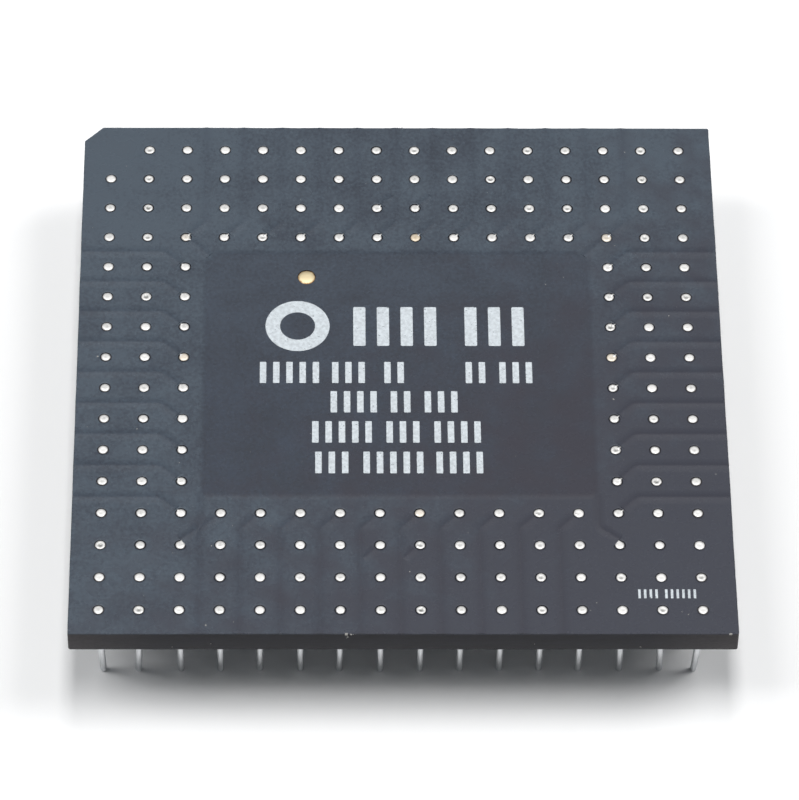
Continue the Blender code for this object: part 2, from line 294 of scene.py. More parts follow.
def sawn_laminate():
    """Black-filled glass-epoxy, sawn: layers of glass cloth show as faint bands along the edge."""
    c = colours()
    material, tree = new_material("sawn_glass_epoxy", c.laminate_dark)
    bundles = grain(tree, 0.30 * MM, 2.0, (1, 1, 0.35))
    layers = add(tree, MATH, [grain(tree, 0.17 * MM, 1.0, (14, 14, 1)), bundles], operation="MULTIPLY")
    glassy = add(tree, RANGE, [layers, 0.16, 0.36, 0, 1])
    clean = add(tree, MIX, {0: glassy, 6: c.laminate_dark, 7: c.laminate_light}, data_type="RGBA")
    x, _, _ = add(tree, "ShaderNodeSeparateXYZ", [add(tree, "ShaderNodeTexCoord").outputs["Object"]]).outputs
    # painted light: the sawn edge is painted lighter and browner towards its ends, where more light reaches
    # it
    ends = add(tree, RANGE, [add(tree, MATH, [x], operation="ABSOLUTE"), 15.5 * MM, 20.5 * MM, 0, 0.8])
    painted_light_ends = add(tree, MATH, [ends, add(tree, RANGE, [bundles, 0.2, 0.6, 0.5, 1])], operation="MULTIPLY")
    return finish_material(material, {
        "Base Color": add(tree, MIX, {0: painted_light_ends, 6: clean, 7: c.laminate_painted_light}, data_type="RGBA"),
        "Roughness": 0.72, "IOR": 1.52,
    }, bundles, 0.6, 0.02 * MM)


def solder():
    """Tin-lead solder, cooled in air: bright and soft in gloss, with a few dull and a few yellow dots."""
    c = colours()
    material, tree = new_material("tin_lead_solder", c.solder_bright)
    dull, gold, middle = [
        add(tree, "ShaderNodeAttribute", attribute_name=name).outputs["Fac"]
        for name in ("dull", "gold", "middle")
    ]
    frost = grain(tree, 0.10 * MM, 3.0)
    uneven = add(tree, MATH, [middle, add(tree, RANGE, [frost, 0.35, 0.65, -0.15, 0.35])])
    patch = add(tree, MATH, [dull, uneven], operation="MULTIPLY", use_clamp=True)
    grey = add(tree, MIX, {0: patch, 6: c.solder_bright, 7: c.solder_dull}, data_type="RGBA")
    return finish_material(material, {
        "Base Color": add(tree, MIX, {0: gold, 6: grey, 7: c.solder_gold}, data_type="RGBA"),
        "Metallic": 1.0, "Roughness": add(tree, RANGE, [frost, 0.3, 0.7, 0.30, 0.46]),
    }, frost, 0.5, 0.012 * MM)


def tin_plate():
    """Tin-plated bronze wire, drawn: fine streaks along each pin."""
    c = colours()
    material, tree = new_material("tin_plated_bronze", c.pin_plate)
    streaks = grain(tree, 0.05 * MM, 2.0, (1, 1, 30))
    shade = add(tree, RANGE, [streaks, 0.3, 0.7, 0, 1])
    tone = add(tree, MIX, {0: shade, 6: lighter(c.pin_plate, 0.82), 7: c.pin_plate}, data_type="RGBA")
    return finish_material(material, {
        "Base Color": tone, "Metallic": 1.0, "Roughness": add(tree, RANGE, [streaks, 0.3, 0.7, 0.36, 0.48]),
    }, streaks, 0.3, 0.004 * MM)


def gold_plate(centre, radius):
    """Gold-plated pad, darker and browner towards the mask round it."""
    c = colours()
    material, tree = new_material("gold_plate", c.gold)
    from_centre = add(tree, "ShaderNodeVectorMath", [
        add(tree, "ShaderNodeTexCoord").outputs["Object"], centre,
    ], operation="DISTANCE")
    rubbed = grain(tree, 0.14 * MM, 3.0)
    ragged = add(tree, RANGE, [rubbed, 0.3, 0.7, -0.07 * radius, 0.07 * radius])
    edge = add(tree, RANGE, [add(tree, MATH, [from_centre, ragged]), 0.80 * radius, 1.02 * radius, 0, 1])
    return finish_material(material, {
        "Base Color": add(tree, MIX, {0: edge, 6: c.gold, 7: c.gold_rim}, data_type="RGBA"),
        "Metallic": 1.0, "Roughness": add(tree, RANGE, [rubbed, 0.3, 0.7, 0.28, 0.42]),
    }, rubbed, 0.5, 0.014 * MM)


def plain_finish(name, low, high, grain_size, roughness, metallic=0.0):
    """A matte or satin finish with small grain, for pieces without a look of their own."""
    material, tree = new_material(name, low)
    spots = grain(tree, grain_size, 3.0)
    shade = add(tree, RANGE, [spots, 0.3, 0.7, 0, 1])
    return finish_material(material, {
        "Base Color": add(tree, MIX, {0: shade, 6: low, 7: high}, data_type="RGBA"),
        "Metallic": metallic, "Roughness": roughness,
    }, spots, 0.5, 0.008 * MM)


def marking_ink():
    """White epoxy marking ink, stamped: matt, a little thin in patches, with pinholes."""
    c = colours()
    material, tree = new_material("white_marking_ink", c.ink)
    thin = add(tree, RANGE, [grain(tree, 0.22 * MM, 4.0), 0.35, 0.65, 0, 1])
    pinholes = add(tree, RANGE, [grain(tree, 0.10 * MM, 1.0), 0.24, 0.31, 0, 1])
    white = add(tree, MIX, {0: thin, 6: lighter(c.ink, 0.76), 7: c.ink}, data_type="RGBA")
    return finish_material(material, {
        "Base Color": add(tree, MIX, {0: pinholes, 6: c.mask_light, 7: white}, data_type="RGBA"),
        "Roughness": 0.55, "IOR": 1.5,
    })


def silicon_and_gold(die_face):
    """Polished silicon with aluminium bond pads too small to show, and gold wire below its face."""
    c = colours()
    material, tree = new_material("silicon_and_gold_wire", c.silicon)
    _, _, z = add(tree, "ShaderNodeSeparateXYZ", [add(tree, "ShaderNodeTexCoord").outputs["Object"]]).outputs
    wire = add(tree, RANGE, [z, die_face - 0.02 * MM, die_face - 0.01 * MM, 1, 0])
    silicon = add(tree, MIX, {
        0: grain(tree, 0.5 * MM, 3.0), 6: c.silicon, 7: lighter(c.silicon, 1.25),
    }, data_type="RGBA")
    return finish_material(material, {
        "Base Color": add(tree, MIX, {0: wire, 6: silicon, 7: c.gold}, data_type="RGBA"),
        "Metallic": add(tree, RANGE, [wire, 0, 1, 0.6, 1.0]),
        "Roughness": add(tree, RANGE, [wire, 0, 1, 0.12, 0.3]),
    })


# Meshes

def new_object(name, mesh, *materials):
    thing = bpy.data.objects.new(name, mesh)
    bpy.context.scene.collection.objects.link(thing)
    for material in materials:
        mesh.materials.append(material)
    return thing


def mesh_of(work, name):
    mesh = bpy.data.meshes.new(name)
    work.to_mesh(mesh)
    work.free()
    return mesh


def add_piece(name, work, materials, slot, *nodes):
    """Makes a piece of the mesh worked on, and seats it."""
    seat(new_object(name, mesh_of(work, name), *materials), slot, *nodes)


def shade_smooth(thing):
    thing.data.shade_smooth()
    thing.data.set_sharp_from_angle(angle=math.radians(35))


def seat(thing, slot, *nodes):
    """Rides the piece on the chip's one body and hides the nodes that it stands for; its slot is not used."""
    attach(thing, BODY)
    if nodes:
        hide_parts(*nodes)


def arc_at(before, corner, after, radius, steps):
    """Points of the arc that rounds one corner of an outline or a route."""
    back = (before - corner).normalized()
    ahead = (after - corner).normalized()
    half_angle = back.angle(ahead) / 2
    run = radius / math.tan(half_angle)
    centre = corner + (back + ahead).normalized() * radius / math.sin(half_angle)
    start = (corner + back * run - centre).normalized()
    end = (corner + ahead * run - centre).normalized()
    return [centre + start.slerp(end, step / steps) * radius for step in range(steps + 1)]


def rounded_outline(corners, radius, steps=4):
    """Corners of a convex outline, counter-clockwise, each replaced by an arc."""
    corners = [Vector(corner) for corner in corners]
    points = []
    for i, corner in enumerate(corners):
        points += arc_at(corners[i - 1], corner, corners[(i + 1) % len(corners)], radius, steps)
    return points


def rectangle(half_x, half_y, centre=(0, 0)):
    return [(centre[0] + x * half_x, centre[1] + y * half_y) for x, y in ((1, 1), (-1, 1), (-1, -1), (1, -1))]


def circle(centre, radius, sides, wobble=None):
    """Outline of a circle; wobble gives its radius at an angle as a share of the full one."""
    points = []
    for i in range(sides):
        angle = 2 * math.pi * i / sides
        reach = radius * (wobble(angle) if wobble else 1)
        points.append(Vector((centre[0] + reach * math.cos(angle), centre[1] + reach * math.sin(angle))))
    return points


def uneven(angle, amount, seed, lobes):
    """Share that wanders round 1 as the angle goes round."""
    return 1 + amount * noise.noise(Vector((math.cos(angle), math.sin(angle), seed)) * lobes)


def inset(points, reach):
    """Closed outline moved inwards by reach."""
    moved = []
    for i, point in enumerate(points):
        along = (points[(i + 1) % len(points)] - points[i - 1]).normalized()
        moved.append(point + Vector((-along.y, along.x)) * reach)
    return moved


def ring(work, points, z):
    return [work.verts.new((x, y, z)) for x, y in points]


def strip(work, first, second, finish=0):
    """Band of faces between two rings of equal count, in the material of the number given."""
    for i in range(len(first)):
        nxt = (i + 1) % len(first)
        work.faces.new((first[i], first[nxt], second[nxt], second[i])).material_index = finish


def skin(work, levels, finishes=(), capped=False):
    """Walls through outlines of equal count, each with its height; returns their rings."""
    rings = [ring(work, points, z) for points, z in levels]
    for i, (first, second) in enumerate(zip(rings, rings[1:])):
        strip(work, first, second, finishes[i] if finishes else 0)
    if capped:
        work.faces.new(rings[0][::-1])
        work.faces.new(rings[-1])
    return rings


def turned(name, profile, sides, centre=(0, 0, 0), wobble=None):
    """Mesh of a turned solid; profile runs upwards as (radius, height)."""
    work = bmesh.new()
    skin(work, [
        (circle(centre, radius, sides, wobble), centre[2] + height) for radius, height in profile
    ], capped=True)
    return mesh_of(work, name)


# Pin places

def inner_ring():
    """First column and row of the ring of pins round the free middle."""
    s = sizes()
    return (s.grid_side - s.free_columns) // 2 - 1, (s.grid_side - s.free_rows) // 2 - 1


def pin_cells():
    """Column and row of each pin; row 0 is at the back, and the index corner has none."""
    side = sizes().grid_side
    first_column, first_row = inner_ring()
    cells = []
    for row in range(side):
        for column in range(side):
            beside_middle = not first_column < column < side - 1 - first_column
            before_or_behind = not first_row < row < side - 1 - first_row
            if (beside_middle or before_or_behind) and (column, row) != (0, 0):
                cells.append((column, row))
    return cells


def cell_place(column, row, z=0.0):
    s = sizes()
    middle = (s.grid_side - 1) / 2
    return Vector(((column - middle) * s.pitch, (middle - row) * s.pitch, z))


# Geometry Nodes

def points_object(name, places, attributes, edges=()):
    """Mesh of points; each attribute is a list of numbers or of vectors, one for each point."""
    mesh = bpy.data.meshes.new(name)
    mesh.from_pydata([tuple(place) for place in places], edges, [])
    for key, values in attributes.items():
        if isinstance(values[0], Vector):
            flat = [number for vector in values for number in vector]
            mesh.attributes.new(key, "FLOAT_VECTOR", "POINT").data.foreach_set("vector", flat)
        else:
            kind = "INT" if isinstance(values[0], int) else "FLOAT"
            mesh.attributes.new(key, kind, "POINT").data.foreach_set("value", values)
    return new_object(name, mesh)


def new_tree(name, sockets):
    """Geometry tree with the inputs given as {name: kind}, and the sockets that they come in by."""
    tree = bpy.data.node_groups.new(name, "GeometryNodeTree")
    for label, kind in {"Geometry": "Geometry", **sockets}.items():
        tree.interface.new_socket(label, in_out="INPUT", socket_type=f"NodeSocket{kind}")
    tree.interface.new_socket("Geometry", in_out="OUTPUT", socket_type="NodeSocketGeometry")
    return tree, add(tree, "NodeGroupInput").outputs


def finish_tree(tree, geometry, material):
    whole = add(tree, "GeometryNodeRealizeInstances", {"Geometry": geometry})
    shaded = add(tree, "GeometryNodeSetShadeSmooth", {"Geometry": whole, "Shade Smooth": True})
    dressed = add(tree, "GeometryNodeSetMaterial", {"Geometry": shaded, "Material": material})
    add(tree, "NodeGroupOutput", {"Geometry": dressed})
    return tree


def grow(thing, tree, values):
    """Runs a geometry tree on the object with inputs set by name; the object takes the plain mesh."""
    modifier = thing.modifiers.new(tree.name, "NODES")
    modifier.node_group = tree
    for item in tree.interface.items_tree:
        if item.in_out == "INPUT" and item.name in values:
            modifier[item.identifier] = values[item.name]
    mesh = bpy.data.meshes.new_from_object(thing.evaluated_get(bpy.context.evaluated_depsgraph_get()))
    thing.modifiers.clear()
    work = bmesh.new()
    work.from_mesh(mesh)
    if work.calc_volume(signed=True) < 0:
        bmesh.ops.reverse_faces(work, faces=work.faces)
    work.to_mesh(mesh)
    work.free()
    thing.data = mesh


def set_out_tree():
    """Sets one of a collection's shapes on each point, turned by its lean and by a random part turn."""
    tree, group = new_tree("set_out_on_grid", {
        "Shapes": "Collection", "Material": "Material",
        "Seed": "Int", "Turn": "Float", "Size Spread": "Float",
    })
    shapes = add(tree, "GeometryNodeCollectionInfo", {
        "Collection": group["Shapes"], "Separate Children": True, "Reset Children": True,
    })
    shape = add(tree, "GeometryNodeInputNamedAttribute", {"Name": "shape"}, data_type="INT")
    lean = add(tree, "GeometryNodeInputNamedAttribute", {"Name": "lean"}, data_type="FLOAT_VECTOR")
    spin = add(tree, "FunctionNodeRandomValue", {"Min": 0.0, "Max": group["Turn"], "Seed": group["Seed"]})
    turn = add(tree, "ShaderNodeVectorMath", [lean, add(tree, "ShaderNodeCombineXYZ", {"Z": spin})])
    least = add(tree, MATH, [1.0, group["Size Spread"]], operation="SUBTRACT")
    most = add(tree, MATH, [1.0, group["Size Spread"]])
    size = add(tree, "FunctionNodeRandomValue", {"Min": least, "Max": most, "Seed": group["Seed"]})
    placed = add(tree, "GeometryNodeInstanceOnPoints", {
        "Points": group["Geometry"], "Instance": shapes, "Pick Instance": True, "Instance Index": shape,
        "Rotation": turn, "Scale": add(tree, "ShaderNodeCombineXYZ", [size, size, 1.0]),
    })
    return finish_tree(tree, placed, group["Material"])


def ridge_tree():
    """Lays a low ridge along each chain of edges: hollow flanks and a narrow top, as mask dries."""
    tree, group = new_tree("ridge_along_route", {
        "Half Width": "Float", "Rise": "Float", "Sink": "Float", "Copper": "Float", "Material": "Material",
    })
    route = add(tree, "GeometryNodeMeshToCurve", {"Mesh": group["Geometry"]})
    taper = add(tree, "GeometryNodeInputNamedAttribute", {"Name": "taper"}, data_type="FLOAT")
    tapered = add(tree, "GeometryNodeSetCurveRadius", {"Curve": route, "Radius": taper})
    upright = add(tree, "GeometryNodeSetCurveNormal", {"Curve": tapered}, mode="Z_UP")
    round_profile = add(tree, "GeometryNodeCurvePrimitiveCircle", {"Resolution": 20, "Radius": 1.0})
    x, y, _ = add(tree, "ShaderNodeSeparateXYZ", [add(tree, "GeometryNodeInputPosition")]).outputs
    # points gather near the ridge's top, where it turns sharpest
    offset = add(tree, MATH, [add(tree, MATH, [x], operation="ABSOLUTE"), 1.6], operation="POWER")
    side = add(tree, MATH, [x], operation="SIGN")
    half = add(tree, MATH, [side, group["Half Width"]], operation="MULTIPLY")
    across = add(tree, MATH, [offset, half], operation="MULTIPLY")
    hollow = add(tree, MATH, [add(tree, MATH, [1.0, offset], operation="SUBTRACT"), 2.0], operation="POWER")
    dip = add(tree, MATH, [group["Sink"], -0.1], operation="MULTIPLY")
    top = add(tree, MATH, [hollow, group["Rise"], dip], operation="MULTIPLY_ADD")
    bottom = add(tree, MATH, [group["Sink"], -1.0], operation="MULTIPLY")
    is_top = add(tree, "FunctionNodeCompare", [y, -1e-6], operation="GREATER_THAN")
    height = add(tree, "GeometryNodeSwitch", {
        "Switch": is_top, "False": bottom, "True": top,
    }, input_type="FLOAT")
    # the sweep turns the profile's Y downwards
    down = add(tree, MATH, [height, -1.0], operation="MULTIPLY")
    marked = add(tree, "GeometryNodeStoreNamedAttribute", {
        "Geometry": round_profile, "Name": "over_copper",
        "Value": add(tree, MATH, [hollow, group["Copper"]], operation="MULTIPLY"),
    }, data_type="FLOAT", domain="POINT")
    profile = add(tree, "GeometryNodeSetPosition", {
        "Geometry": marked, "Position": add(tree, "ShaderNodeCombineXYZ", [across, down]),
    })
    swept = add(tree, "GeometryNodeCurveToMesh", {
        "Curve": upright, "Profile Curve": profile, "Fill Caps": True,
    })
    return finish_tree(tree, swept, group["Material"])


def set_out(name, shapes, cells, z, material, turn=0.0, size_spread=0.0, seed=1, **attributes):
    """Sets shapes out on the cells of the grid as one piece of the soldered pin field."""
    plain = {"shape": [0] * len(cells), "lean": [Vector((0, 0, 0))] * len(cells)}
    thing = points_object(name, [cell_place(*cell, z) for cell in cells], {**plain, **attributes})
    collection = bpy.data.collections.new(f"{name}_shapes")
    for i, mesh in enumerate(shapes):
        collection.objects.link(bpy.data.objects.new(f"{name}_shapes_{i}", mesh))
    grow(thing, bpy.data.node_groups.get("set_out_on_grid") or set_out_tree(), {
        "Shapes": collection, "Seed": seed, "Turn": turn, "Size Spread": size_spread, "Material": material,
    })
    for shape in list(collection.objects):
        bpy.data.objects.remove(shape)
    bpy.data.collections.remove(collection)
    seat(thing, "solder", "pin_grid_board")


# Board

def saw_edge_points():
    """Board outline, counter-clockwise, with rounded corners and edges that wander as a saw leaves them."""
    s = sizes()
    corners = [
        (s.left - s.front_flare, s.front), (s.right + s.front_flare, s.front), (s.right, s.back),
        (s.left + s.corner_cut_x, s.back), (s.left, s.back - s.corner_cut_y),
    ]
    outline = rounded_outline(corners, s.corner_round)
    step = 0.6 * MM
    wave_length = 2.2 * MM
    points = []
    for i, here in enumerate(outline):
        ahead = outline[(i + 1) % len(outline)]
        run = (ahead - here).length
        pieces = max(1, round(run / step))
        outward = Vector((ahead.y - here.y, here.x - ahead.x)).normalized()
        for k in range(pieces):
            point = here.lerp(ahead, k / pieces)
            wander = noise.noise(Vector((point.x, point.y, 0)) / wave_length) if k else 0
            points.append(point + outward * wander * s.saw_wave)
    return points


def sheet(work, outlines, z):
    """Flat face within the first outline, with the others, all of them convex, as its holes."""
    points = []
    edges = []
    owners = []
    for number, outline in enumerate(outlines):
        first = len(points)
        count = len(outline)
        points += [point / MM for point in outline]
        edges += [(first + i, first + (i + 1) % count) for i in range(count)]
        owners += [number] * count
    found, _, triangles, sources, *_ = geometry.delaunay_2d_cdt(points, edges, [], 1, 1e-6)
    verts = ring(work, [point * MM for point in found], z)
    for triangle in triangles:
        owned = {owners[sources[i][0]] for i in triangle}
        if len(owned) > 1 or owned == {0}:
            work.faces.new([verts[i] for i in triangle])


def mark_opening():
    """Outline of the opening that holds the index mark."""
    low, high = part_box("index_mark")
    return circle((low + high) / 2, sizes().mark_radius + SEAM, 40)


def sink_openings(work):
    """The mask's dips and openings round the dots and the index mark; returns their rims."""
    s = sizes()
    sides = 24
    draft = 0.01 * MM
    under_mark = 0.015 * MM
    dip = s.dimple_radius - s.opening_radius
    profile = []
    for share in (1, 2 / 3, 1 / 3, 0):
        profile.append((s.opening_radius + dip * share, TOP_Z - s.dimple_depth * (1 - share) ** 2))
    profile.append((s.opening_radius - draft, TOP_Z - s.opening_depth))
    pits = []
    for cell in pin_cells():
        centre = cell_place(*cell)
        # painted shade: the opening's lowest wall and its floor take the near-black sawn laminate, a dark
        # ring that stands for the shaded gap round each dot
        pits.append(([(circle(centre, radius, sides), z) for radius, z in profile], (MASK, MASK, MASK, BARE_AND_SHADE)))
    mark = mark_opening()
    # the mark's opening is lined with the near-black laminate too, painted shade round the mark
    pits.append(([(mark, TOP_Z), (mark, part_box("index_mark")[0].z - under_mark)], (BARE_AND_SHADE,)))
    for levels, finishes in pits:
        work.faces.new(skin(work, levels, finishes)[-1]).material_index = BARE_AND_SHADE
    return [levels[0][0] for levels, _ in pits]


def close_up(work):
    """Merges doubled points, turns faces outwards, and breaks the shading at sharp edges and level faces."""
    bmesh.ops.remove_doubles(work, verts=work.verts, dist=1e-7)
    bmesh.ops.recalc_face_normals(work, faces=work.faces)
    for face in work.faces:
        face.smooth = True
        face.normal_update()
    for edge in work.edges:
        if len(edge.link_faces) == 2:
            levels = [abs(face.normal.z) > 0.99999 for face in edge.link_faces]
            edge.smooth = edge.calc_face_angle(0) < math.radians(50) and levels[0] == levels[1]


def build_board():
    """The laminate board with its rims, the mask's openings and the stepped die cavity underneath."""
    s = sizes()
    work = bmesh.new()
    outline = saw_edge_points()
    rim = s.rim_round
    skin(work, [(inset(outline, reach), z) for reach, z in (
        (rim, UNDERSIDE_Z), (0.3 * rim, UNDERSIDE_Z + 0.3 * rim), (0, UNDERSIDE_Z + rim),
        (0, TOP_Z - rim), (0.3 * rim, TOP_Z - 0.3 * rim), (rim, TOP_Z),
    )], (MASK, MASK, BARE_AND_SHADE, MASK, MASK))
    sheet(work, [inset(outline, rim), *sink_openings(work)], TOP_Z)
    window = rounded_outline(rectangle(s.window_length / 2, s.window_width / 2), s.window_round)
    pocket = rounded_outline(rectangle(s.pocket_length / 2, s.pocket_width / 2), s.pocket_round)
    sheet(work, [inset(outline, rim), window], UNDERSIDE_Z)
    shelf_z = UNDERSIDE_Z + s.window_depth
    rings = skin(work, [
        (window, UNDERSIDE_Z), (window, shelf_z), (pocket, shelf_z), (pocket, shelf_z + s.pocket_depth),
    ], (BARE_AND_SHADE, BARE_AND_SHADE, BARE_AND_SHADE))
    work.faces.new(rings[-1]).material_index = BARE_AND_SHADE
    close_up(work)
    add_piece("laminate_board", work, [solder_mask(), sawn_laminate()], "laminate", "pin_grid_board")


# Copper relief under the mask

def ring_ties():
    """The traces that end beside the pins round the free middle.

    Each gives its pad's column and row, the way to its knee in half pitches, the X or Y of the sawn edge that
    it comes from, and its bare stub: direction, reach as a share of the usual one, and width.
    """
    s = sizes()
    left, back = inner_ring()
    right = s.grid_side - 1 - left
    front = s.grid_side - 1 - back
    slant = math.sqrt(0.5)
    left_edge = (s.left + SEAM, None)
    right_edge = (s.right - SEAM, None)
    back_edge = (None, s.back - SEAM)
    front_edge = (None, s.front + SEAM)
    ties = []
    for row in range(back + 1, front + 1):
        ties.append((left, row, (-1.12, 1), left_edge, (-slant, slant, 0.80, s.tail_width)))
        ties.append((right, row, (1, 1), right_edge, (0.80, 0.60, 1.04, s.spur_width)))
    for column in range(left, right + 1):
        ties.append((column, back, (1, 1), back_edge, (slant, slant, 1.06, s.spur_width)))
    for column in range(left + 1, right):
        ties.append((column, front, (-1, -1), front_edge, (-slant, -slant, 0.72, s.tail_width)))
    for column in (s.grid_side // 2 - 1, s.grid_side // 2):
        ties.append((column, back - 1, (1, 1), None, (slant, slant, 0.95, s.spur_width)))
        ties.append((column, front + 1, (-1, -1), None, (-slant, -slant, 0.75, s.tail_width)))
    return ties


def beside(pad, knee):
    """Point at the rim of a pad's dip, on the way to the knee."""
    return pad + (knee - pad).normalized() * (sizes().dimple_radius - SEAM)


def trace_routes():
    """Routes of the plating traces, and of those that tie the copper field to the ring's corner pins."""
    s = sizes()
    half = s.pitch / 2
    routes = []
    for column, row, way, edge, _ in ring_ties():
        pad = cell_place(column, row, TOP_Z)
        knee = pad + Vector((way[0] * half, way[1] * half, 0))
        if edge:
            routes.append([Vector((edge[0] or knee.x, edge[1] or knee.y, TOP_Z)), knee, beside(pad, knee)])
        else:
            # it rises from under the middle of a passing trace
            lower = Vector((0, 0, 0.003 * MM))
            buried = knee.lerp(pad, 0.05) - Vector((0, 0, s.trace_rise + 0.01 * MM))
            routes.append([buried, knee.lerp(pad, 0.18) - lower, beside(pad, knee) - lower])
    left, back = inner_ring()
    low = TOP_Z - 0.004 * MM
    inside_field = 0.3 * MM
    field_y = field_half_width() - inside_field
    for sign, column in ((-1, left), (1, s.grid_side - 1 - left)):
        corner = Vector((sign * (s.field_half_length - inside_field), field_y, low))
        routes.append([corner, beside(cell_place(column, back, TOP_Z), corner)])
        pad = cell_place(column, s.grid_side - back)
        edge_x = sign * s.field_half_length
        routes.append([
            Vector((edge_x, -field_y, low)), Vector((edge_x, pad.y + 1.1 * half, low)),
            Vector((pad.x, pad.y + 0.45 * MM, low)),
        ])
    return routes


def field_half_width():
    s = sizes()
    return s.free_rows / 2 * s.pitch


def top_at(x, y):
    """Height of the mask's surface, which is higher over the copper field."""
    s = sizes()
    on_field = abs(x) < s.field_half_length and abs(y) < field_half_width()
    return TOP_Z + (s.field_rise if on_field else 0)


def build_copper_field():
    """The copper field under the mask in the pinless middle, with its smooth step."""
    s = sizes()
    steps = 6
    shoulder = 0.50 * MM
    corner = 0.9 * MM
    corner_round = 0.35 * MM
    profile = [(0.0, -SINK)]
    for step in range(steps + 1):
        share = step / steps
        profile.append((shoulder * share, s.field_rise * (0.5 - 0.5 * math.cos(math.pi * share))))
    levels = []
    for inward, height in profile:
        x = s.field_half_length + shoulder / 2 - inward
        y = field_half_width() + shoulder / 2 - inward
        corners = [(x, y - corner), (x - corner, y), (corner - x, y), (-x, y - corner), (-x, -y), (x, -y)]
        levels.append((rounded_outline(corners, corner_round, 3), TOP_Z + height))
    work = bmesh.new()
    skin(work, levels)
    opening = mark_opening()
    for outline, z in (levels[-1], levels[0]):
        sheet(work, [outline, opening], z)
    skin(work, [(opening, TOP_Z - SINK), (opening, TOP_Z + s.field_rise)])
    close_up(work)
    over_copper = work.verts.layers.float.new("over_copper")
    for vert in work.verts:
        vert[over_copper] = max(0.0, (vert.co.z - TOP_Z) / s.field_rise)
    mask = bpy.data.materials["black_solder_mask"]
    add_piece("copper_field_under_mask", work, [mask], "laminate", "pin_grid_board")


def bent_and_tapered(route):
    """Route with arcs at its bends, and with each point's share of the ridge's size: small at the pad."""
    s = sizes()
    run = 0.55 * MM
    share_at_pad = 0.25
    share_at_back_edge = 0.35
    points = [route[0]]
    for before, corner, after in zip(route, route[1:], route[2:]):
        straight = (corner - before).angle(after - corner) < math.radians(10)
        points += [corner] if straight else arc_at(before, corner, after, s.trace_bend, 5)
    end = route[-1]
    if (points[-1] - end).length > 1.5 * run:
        points.append(end + (points[-1] - end).normalized() * run)
    # the mask levels out towards the back edge
    first = share_at_back_edge if route[0].y > s.back - s.pitch / 2 else 1.0
    return [(points[0], first)] + [(point, 1.0) for point in points[1:]] + [(end, share_at_pad)]


def build_traces():
    """The plating traces that stand out under the mask."""
    s = sizes()
    places = []
    tapers = []
    edges = []
    for route in trace_routes():
        points = bent_and_tapered(route)
        edges += [(len(places) + i, len(places) + i + 1) for i in range(len(points) - 1)]
        places += [point for point, _ in points]
        tapers += [taper for _, taper in points]
    traces = points_object("traces_under_mask", places, {"taper": tapers}, edges)
    grow(traces, ridge_tree(), {
        "Half Width": s.trace_half_width, "Rise": s.trace_rise, "Sink": SINK, "Copper": 0.45,
        "Material": bpy.data.materials["black_solder_mask"],
    })
    shade_smooth(traces)
    seat(traces, "laminate", "pin_grid_board")


# Solder dots, tails and pins

# the dull dots' columns and rows, by how dull they are
DULL_DOTS = {
    0.4: ((10, 0), (0, 8), (15, 8), (1, 13), (3, 13), (4, 13), (8, 14), (10, 14)),
    0.45: ((1, 1), (13, 8)),
    0.5: ((1, 0), (8, 0), (11, 2), (14, 2), (4, 3), (14, 3), (11, 12), (13, 14), (11, 15)),
    0.6: ((11, 0), (14, 0), (12, 2), (1, 3), (14, 5), (8, 13), (11, 14), (15, 14), (14, 15)),
    0.7: ((14, 1), (15, 5), (13, 10), (1, 15)),
    0.8: ((10, 1), (1, 5), (13, 6), (14, 11), (0, 13)),
    0.9: ((1, 2), (8, 15)),
}
# how much gold shows through a dot
GOLD_DOTS = {(8, 3): 0.45, (2, 7): 0.30, (13, 7): 0.30, (8, 12): 0.25, (2, 3): 0.15, (13, 3): 0.25}


def dot_shapes():
    """Solder dots, nearly flat: from full ones to sunken ones that show the pin's end."""
    s = sizes()
    steps = 7
    crater_width = 0.42
    middle_width = 0.5
    hub = 0.06
    meshes = []
    for variant, (fullness, crater, amount) in enumerate(
        ((1.00, 0.00, 0.05), (0.92, 0.20, 0.08), (0.90, 0.80, 0.06), (0.85, 1.30, 0.09))
    ):
        profile = [(s.dot_radius, -s.opening_depth)]
        for step in range(steps + 1):
            share = 1 - step / steps
            rise = (1 - share ** 5) * fullness - crater * math.exp(-((share / crater_width) ** 2))
            profile.append((s.dot_radius * max(share, hub), s.dot_rise * rise))
        mesh = turned(f"dot_{variant}", profile, 20,
                      wobble=lambda angle: uneven(angle, amount, variant * 7.3, 1.6))
        reaches = [vert.co.xy.length / s.dot_radius / middle_width for vert in mesh.vertices]
        layer = mesh.attributes.new("middle", "FLOAT", "POINT")
        layer.data.foreach_set("value", [math.exp(-(reach ** 2)) for reach in reaches])
        meshes.append(mesh)
    return meshes


def build_dots():
    """A solder dot over each pin's tail, on the top face."""
    cells = pin_cells()
    draw = random.Random(7)
    shape = []
    dull = []
    faded_dots = {cell: share for share, group in DULL_DOTS.items() for cell in group}
    for cell in cells:
        faded = faded_dots.get(cell, 0.0)
        usual = draw.choice((0, 0, 1))
        shape.append(3 if faded > 0.75 else 2 if faded > 0.4 else usual)
        dull.append(float(max(faded, draw.choice((0.05, 0.15, 0.35, 0.45)))))
    set_out("solder_dots", dot_shapes(), cells, TOP_Z, solder(), turn=2 * math.pi, size_spread=0.05, seed=3,
            shape=shape, dull=dull, gold=[GOLD_DOTS.get(cell, 0.0) for cell in cells])


def stub_shape(reach, width):
    """Flat pointed tongue that reaches from inside a dot along +X."""
    s = sizes()
    root = 0.25 * s.tail_reach
    tip_round = 0.022 * MM
    slope = 0.016 * MM
    outline = rounded_outline([(root, -width / 2), (reach, 0), (root, width / 2)], tip_round, 2)
    top = inset(outline, slope)
    work = bmesh.new()
    skin(work, [
        (outline, -s.opening_depth), (outline, 0.5 * s.dot_rise), (top, 0.86 * s.dot_rise),
    ], capped=True)
    return mesh_of(work, "stub")


